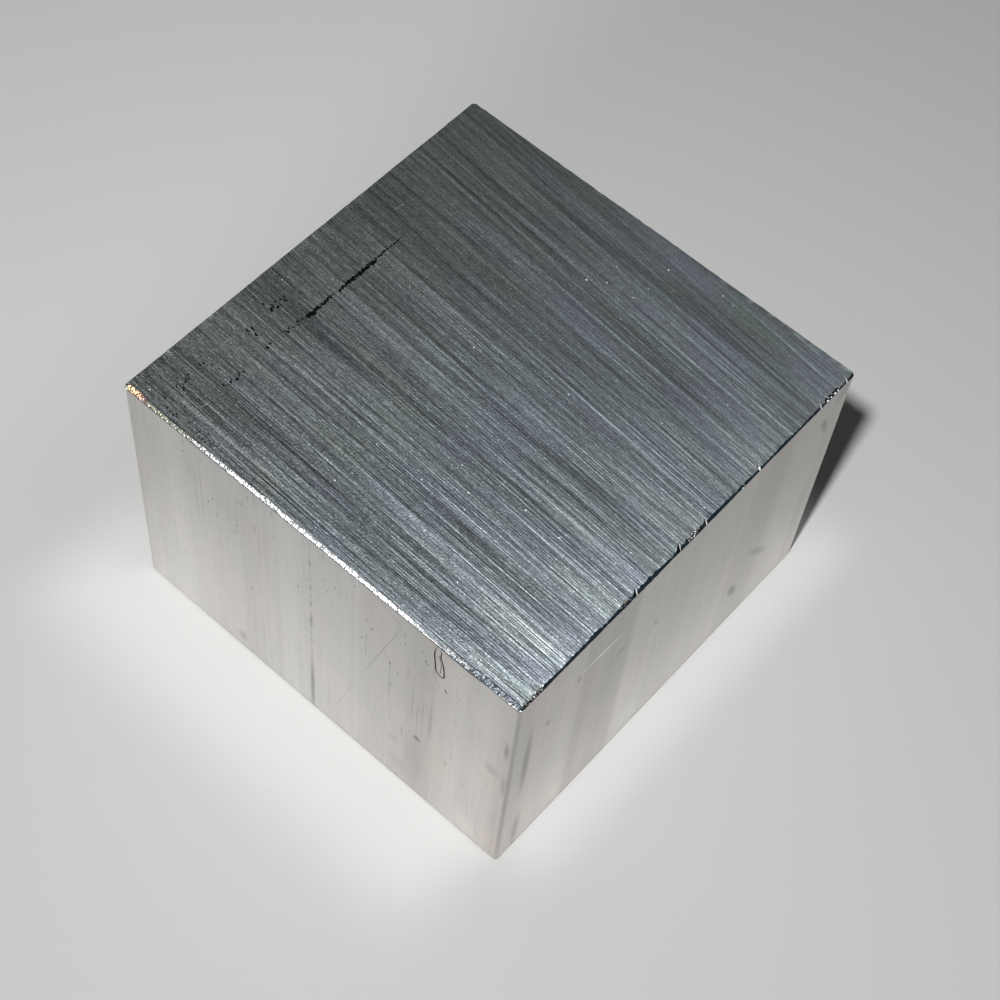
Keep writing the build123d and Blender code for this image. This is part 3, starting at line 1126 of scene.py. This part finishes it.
# %% Pits: specks on the sawn end
SPECKS = [(9.9, 12.4), (-3.15, 15.65), (-15.75, 12.65), (1.35, 4.0), (-2.6, 7.25), (5.15, -6.75),
          (-1.1, 1.75), (-18.9, 3.25), (-9.5, -4.2), (16.9, -3.4), (18.8, -3.8), (23.0, -11.2)]
SPECK_SUNK = 0.06
FAINT_SPECKS = 260
CLEAN_CORNER = 22.0   # no faint specks where x + y is larger


def speck(x, y, size, longer):
    """A bright pit on the sawn end, longer along the grooves than across them."""
    half = (size, size * longer, size / 2)
    bright_pits.append(((x, y, CUT_LENGTH - SPECK_SUNK), half, TOP_TURN))


for x, y in SPECKS:
    speck(x, y, chance.uniform(0.06, 0.09), 1.5)
for _ in range(FAINT_SPECKS):
    x, y = chance.uniform(-24, 24, 2)
    size = chance.uniform(0.04, 0.09)
    if x + y < CLEAN_CORNER:
        speck(x, y, size, 1.6)
print("bright specks:", len(bright_pits))

# %% [markdown]
# The front rim was knocked in a few places. A chip is a row of pits, some of them bright. The dent
# before the last nick is painted dark at the back, a painted shade, with four painted glints on its
# lip. One larger lump was torn out of the fourth nick, and another out of the far left corner.

# %% Pits: chips and dents of the front rim
CHIPS = [(13.9, 15.4), (23.7, 25.6), (0.4, 3.3), (32.0, 32.5)]
CHIP_STEP = 0.13
CHIP_REACH = 0.38
CHIP_SUNK = 0.02
BRIGHT_SHARE = 0.35
BRIGHT_SIZE = 0.65
# the dent's glints, from the near left corner, with their half widths
GLINTS = [(45.5, 0.2), (46.1, 0.12), (46.75, 0.22), (47.2, 0.12)]
DENT_INSET = 0.27
DENT_SIZE = (0.34, 0.11, 0.2)
GLINT_SIZE = 0.1
# place and half sizes
LUMPS = [((-HALF + 0.1, HALF - 0.35, CUT_LENGTH - 0.35), (0.2, 0.2, 0.25)),
         ((9.8, -HALF + 0.22, CUT_LENGTH - 0.2), (0.2, 0.17, 0.15))]

for start, end in CHIPS:
    for x in np.arange(start, end, CHIP_STEP):
        inset = chance.uniform(0.0, CHIP_REACH)
        at = (x - HALF, -HALF + inset, CUT_LENGTH - max(0.0, RIM_BREAK - inset) - CHIP_SUNK)
        half = chance.uniform(0.07, 0.17, 3)
        if chance.random() < BRIGHT_SHARE:
            bright_pits.append((at, tuple(BRIGHT_SIZE * half), TOP_TURN))
        else:
            dull_pits.append((at, tuple(half), TOP_TURN))
for from_corner, half_width in GLINTS:
    x = from_corner - HALF
    # the dent's back is painted dark, a painted shade, and its lip has a painted glint
    dark_pits.append(((x, DENT_INSET - HALF, CUT_LENGTH), DENT_SIZE, TOP_TURN))
    bright_pits.append(((x, GLINT_SIZE - HALF, CUT_LENGTH - GLINT_SIZE),
                        (half_width, GLINT_SIZE, GLINT_SIZE), TOP_TURN))
for at, half in LUMPS:
    bright_pits.append((at, half, TOP_TURN))
print("pits along the rim, dull ones:", len(dull_pits))

# %% [markdown]
# The left side has small dull spots, more of them near its top, and dark crumbs lie on the sawn
# end behind the burr.

# %% Pits: spots and crumbs
# y, z and half sizes along them
LEFT_SPOTS = [(-16.6, 27.3, 0.14, 0.2), (-14.0, 30.0, 0.1, 0.22), (9.0, 15.0, 0.08, 0.3),
              (10.05, 30.35, 0.08, 0.2), (12.85, 22.4, 0.08, 0.2), (5.35, 29.45, 0.07, 0.2),
              (-6.0, 24.2, 0.08, 0.25), (-7.4, 27.6, 0.08, 0.2), (-9.7, 23.8, 0.10, 0.25)]
CHANCE_SPOTS = 50
CRUMBS = 45

for _ in range(CHANCE_SPOTS):
    LEFT_SPOTS.append((chance.uniform(-19, 19), CUT_LENGTH - 0.9 - abs(chance.normal(0, 7)),
                       chance.uniform(0.025, 0.06), chance.uniform(0.1, 0.45)))
for y, z, half_y, half_z in LEFT_SPOTS:
    dull_pits.append(((-HALF + 0.01, y, z), (half_y, half_z, 0.03), LEFT_TURN))
for _ in range(CRUMBS):
    x = -HALF + 0.7 + abs(chance.normal(0, 0.7))
    at = (x, chance.uniform(13.5, 20.5), CUT_LENGTH - FLECK_SUNK)
    dark_pits.append((at, tuple(chance.uniform(0.05, 0.13, 3)), TOP_TURN))
print("dark pits", len(dark_pits), "bright", len(bright_pits), "dull", len(dull_pits))

# %% [markdown]
# One tree cuts all three kinds of pit. It runs once for each cloud, with that cloud's finish.

# %% Cut the pits
def pit_cloud(pits):
    """Points that carry the size and the turn of each pit."""
    at, half, turn = zip(*pits)
    return piece_from("pits", at, [], [], half=np.array(half), turn=np.array(turn))


tree, given = new_tree("pits", {"Cloud": nicks, "Pit finish": 0})
cloud = add(tree, "GeometryNodeObjectInfo", {"Object": given["Cloud"]})
ball = add(tree, "GeometryNodeMeshIcoSphere", {"Radius": 1.0, "Subdivisions": 1})
worn = add(tree, "GeometryNodeStoreNamedAttribute", {
    "Geometry": ball, "Name": "finish", "Value": given["Pit finish"],
}, data_type="INT", domain="FACE")
half, turned = [add(tree, "GeometryNodeInputNamedAttribute", {"Name": name},
                    data_type="FLOAT_VECTOR") for name in ("half", "turn")]
cut_away(tree, given, add(tree, "GeometryNodeInstanceOnPoints", {
    "Points": cloud.outputs["Geometry"], "Instance": worn, "Rotation": turned, "Scale": half,
}))
clouds = [pit_cloud(pits) for pits in (dark_pits, bright_pits, dull_pits)]
for made, finish in zip(clouds, (GRIME_AND_SHADE, TORN_AND_GLINT, DULL)):
    grow(block, tree, {"Cloud": made, "Pit finish": finish})

# %% [markdown]
# Scratches follow paths on a side, each with its half width. Most are short. One grimy scratch
# makes a loop below the burr, and a row of dashes runs down the middle of the left side.

# %% Scratches: the paths
TOP_SCRATCHES = [  # half width in mm, then the path's x and y
    (0.05, [(-22.0, 17.95), (-20.95, 17.85)]),
    (0.05, [(-22.9, 17.5), (-22.35, 17.35)]),
    (0.05, [(-22.65, 15.3), (-21.95, 15.2)]),
    (0.06, [(-5.8, 19.8), (-5.95, 16.6)]),
    (0.04, [(8.3, 21.2), (9.9, 20.9)]),
    (0.04, [(-12.2, 1.2), (-11.4, 1.7)]),
]
LOOP_SCRATCHES = [  # half width in mm, then the path's y and z
    (0.105, [(-15.2, 34.5), (-14.95, 33.4), (-14.95, 32.4), (-15.1, 31.0), (-15.2, 29.8),
             (-15.75, 29.3), (-16.2, 29.4), (-16.25, 30.2), (-16.1, 31.4), (-15.9, 32.3),
             (-15.65, 33.0), (-15.75, 33.8), (-15.6, 34.5)]),
    (0.045, [(-15.6, 32.8), (-15.8, 31.7), (-15.8, 30.2), (-15.7, 29.7)]),
    (0.060, [(-13.9, 30.0), (-14.4, 29.4)]),
    (0.070, [(-16.4, 27.6), (-16.8, 27.1)]),
]
LEFT_SCRATCHES = [
    (0.022, [(-11.2, 33.7), (-10.7, 31.7), (-9.9, 29.0), (-9.3, 27.0), (-8.2, 23.5), (-6.1, 16.5)]),
    (0.014, [(-5.2, 13.2), (-4.2, 10.0), (-3.3, 7.0), (-2.25, 4.0)]),
    (0.035, [(-7.4, 34.0), (-8.3, 34.1), (-9.2, 33.7), (-10.2, 33.2), (-10.9, 32.8)]),
    (0.020, [(16.0, 30.0), (16.0, 21.0)]),
    (0.020, [(10.4, 32.0), (10.4, 24.0)]),
    (0.020, [(-6.6, 26.0), (-6.6, 21.0)]),
    (0.020, [(-13.4, 20.0), (-13.4, 13.5)]),
]
FRONT_SCRATCHES = [
    (0.05, [(-5.75, 28.8), (-5.45, 28.2)]),
    (0.04, [(9.2, 27.0), (9.5, 26.4)]),
    (0.03, [(0.0, 25.0), (0.2, 24.5)]),
]
DASHES_FROM = 34.0
DASHES_TO = 12.0
DASHES_AT = 0.65
DASH_WIDTH = 0.026

z = DASHES_FROM
while z > DASHES_TO:
    length = chance.uniform(0.5, 1.6)
    LEFT_SCRATCHES.append((DASH_WIDTH, [(DASHES_AT, z), (DASHES_AT, z - length)]))
    z -= length + chance.uniform(0.2, 0.9)
print("scratches on the left side:", len(LEFT_SCRATCHES))

# %% [markdown]
# A path becomes a line of close points with a half width at each, and Curve to Mesh sweeps a
# six-sided tube along it, thin at both ends. The tube lies half in the metal, so taking it away
# leaves a groove.

# %% Cut the scratches
TOP_SUNK = 0.03
PATH_STEP = 0.5
LEAST_STEPS = 5


def scratch_paths(name, scratches, to_place):
    """Open lines as loose edges, thin at their ends, with a half width at every point."""
    verts, edges, wide = [], [], []
    for half_width, path in scratches:
        path = np.array(path, float)
        run = np.append(0, np.cumsum(np.hypot(*np.diff(path, axis=0).T)))
        steps = np.linspace(0, run[-1], max(LEAST_STEPS, round(run[-1] / PATH_STEP)) + 1)
        start = len(verts)
        for step in steps:
            verts.append(to_place(np.interp(step, run, path[:, 0]), np.interp(step, run, path[:, 1])))
            ends = min(step, run[-1] - step) / run[-1]
            wide.append(half_width * min(1, 0.2 + 6 * ends) * chance.uniform(0.75, 1.0))
        edges += [(start + i, start + i + 1) for i in range(len(steps) - 1)]
    return piece_from(name, verts, edges, [], wide=np.array(wide))


tree, given = new_tree("scratches", {"Paths": nicks, "Scratch finish": 0})
paths = add(tree, "GeometryNodeObjectInfo", {"Object": given["Paths"]})
curves = add(tree, "GeometryNodeMeshToCurve", {"Mesh": paths.outputs["Geometry"]})
wide = add(tree, "GeometryNodeInputNamedAttribute", {"Name": "wide"}, data_type="FLOAT")
profile = add(tree, "GeometryNodeCurvePrimitiveCircle", {"Resolution": 6, "Radius": 1.0})
tubes = add(tree, "GeometryNodeCurveToMesh", {
    "Curve": curves, "Profile Curve": profile, "Scale": wide, "Fill Caps": True,
})
worn = add(tree, "GeometryNodeStoreNamedAttribute", {
    "Geometry": tubes, "Name": "finish", "Value": given["Scratch finish"],
}, data_type="INT", domain="FACE")
cut_away(tree, given, worn)
top_paths = scratch_paths("top_scratches", TOP_SCRATCHES,
                          lambda x, y: (x, y, CUT_LENGTH - TOP_SUNK))
loop_paths = scratch_paths("loop_scratches", LOOP_SCRATCHES, lambda y, z: (-HALF, y, z))
left_paths = scratch_paths("left_scratches", LEFT_SCRATCHES, lambda y, z: (-HALF, y, z))
front_paths = scratch_paths("front_scratches", FRONT_SCRATCHES, lambda x, z: (x, -HALF, z))
scratched = (top_paths, loop_paths, left_paths, front_paths)
for made, finish in zip(scratched, (FRESH, GRIME_AND_SHADE, DULL, FRESH)):
    grow(block, tree, {"Paths": made, "Scratch finish": finish})

# %% [markdown]
# The cutting is done. The helpers' objects and the numbers that only the trees needed go, and
# the saw coordinates are worked out again, because the cuts made new points.

# %% Finish the mesh
for helper in (nicks, *scratched, *clouds):
    bpy.data.objects.remove(helper)
mesh = block.data
where = np.empty(len(mesh.vertices) * 3)
mesh.vertices.foreach_get("co", where)
where = where.reshape(-1, 3)
for spent in ("inward", "sawn", "burr", "glint", "comb", "scales", "wide", "finish", "saw"):
    mesh.attributes.remove(mesh.attributes[spent])
saw_marks = saw_coordinates(where)
mesh.attributes.new("saw", "FLOAT_VECTOR", "POINT").data.foreach_set("vector", saw_marks.ravel())
measure("finished block:", mesh)

# %% [markdown]
# The grain map runs u across the grain and v along it. The grain is the grooves on the ends and
# the die's lines on the sides, so each face is asked first which way it looks.

# %% Grain map
END_FACES = 0.7   # a face whose normal has a larger z lies on an end
corners = np.empty(len(mesh.loops), dtype=np.int32)
mesh.loops.foreach_get("vertex_index", corners)
facing = np.empty(len(mesh.polygons) * 3)
mesh.polygons.foreach_get("normal", facing)
around = np.empty(len(mesh.polygons), dtype=np.int32)
mesh.polygons.foreach_get("loop_total", around)
facing = np.abs(np.repeat(facing.reshape(-1, 3), around, axis=0))
is_end = facing[:, 2] > END_FACES
is_left_or_right = facing[:, 0] > facing[:, 1]
u = np.where(is_end, saw_marks[corners, 0],
             np.where(is_left_or_right, where[corners, 1], where[corners, 0]))
v = np.where(is_end, saw_marks[corners, 1], where[corners, 2])
grain_map = mesh.uv_layers.new(name=GRAIN_MAP)
grain_map.uv.foreach_set("vector", np.stack([u, v], axis=1).ravel() / BAR_WIDTH)
print("corners of faces on the ends:", is_end.sum(), "of", len(is_end))

# %% [markdown]
# Turned to metres, the block takes the place of the plain solid of the measured model.

# %% Metres and place in the model
SHARP_FROM = math.radians(22)
mesh.transform(Matrix.Scale(MM, 4))
mesh.shade_smooth()
mesh.set_sharp_from_angle(angle=SHARP_FROM)
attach(block, "root")
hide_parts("block")
print("triangles:", around.sum() - 2 * len(around))
